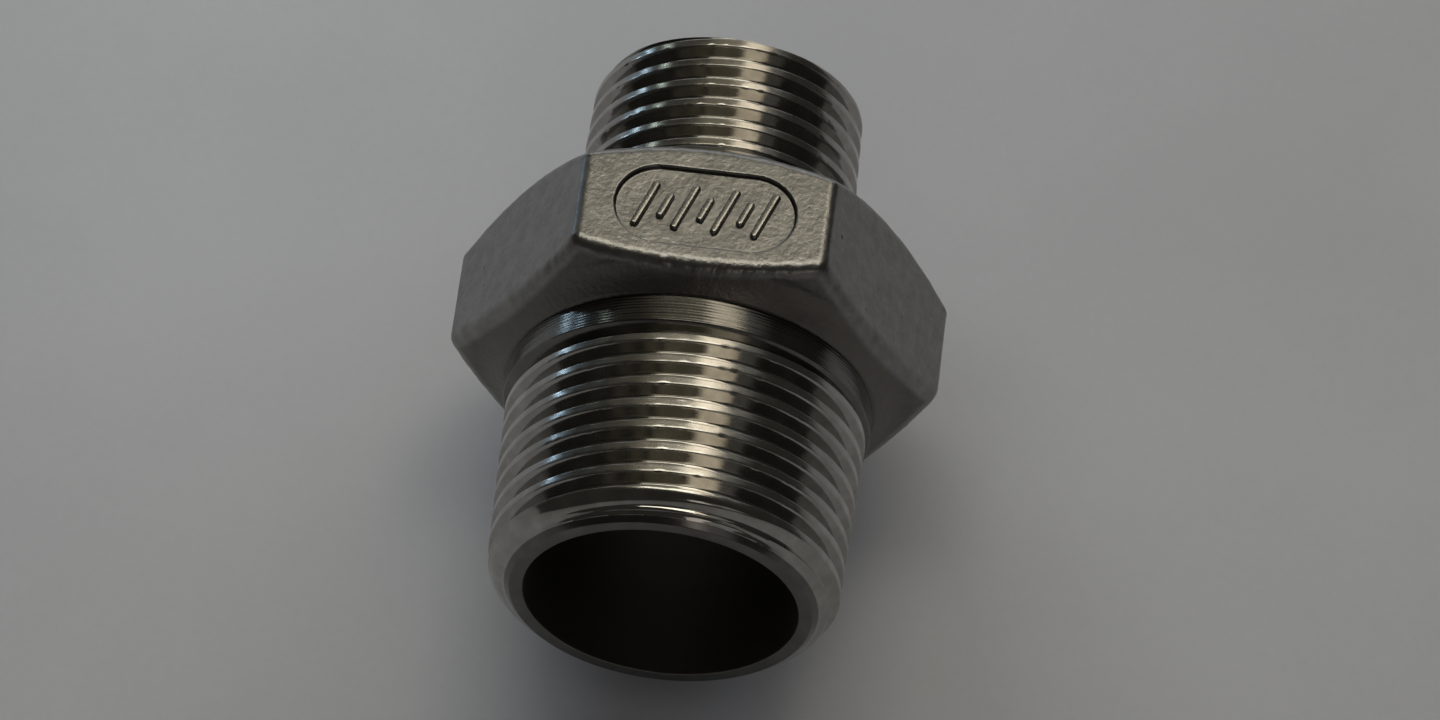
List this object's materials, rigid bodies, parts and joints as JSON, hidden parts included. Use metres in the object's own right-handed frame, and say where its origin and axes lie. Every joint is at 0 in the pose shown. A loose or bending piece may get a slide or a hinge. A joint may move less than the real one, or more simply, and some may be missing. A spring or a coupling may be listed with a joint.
{
  "type": "reducing hex nipple",
  "caption": "Cast stainless reducing hex nipple: a hexagon for a wrench between two right-hand taper male pipe threads, with a stepped through bore.",
  "frame": {"origin": "on the bore axis, halfway between the two end faces", "axes": "+Y along the bore toward the small end, +Z out of the marked flat, +X toward a corner of the hex"},
  "size_m": [0.0362, 0.0434, 0.0316],
  "materials": {
    "cast_steel": "blasted investment casting, satin with fine grain",
    "cast_mark": "blasted investment casting, slightly brighter on the raised tops",
    "turned_steel": "turned, semi-gloss with fine tool lines round the axis",
    "cut_thread": "cut thread, bright, with fine tool lines along the helix"
  },
  "bodies": {
    "root": {"hex_collar": "cast_steel", "raised_mark": "cast_mark", "large_band": "turned_steel", "large_barrel": "turned_steel", "large_thread": "cut_thread", "small_band": "turned_steel", "small_barrel": "turned_steel", "small_thread": "cut_thread"}
  },
  "joints": []
}
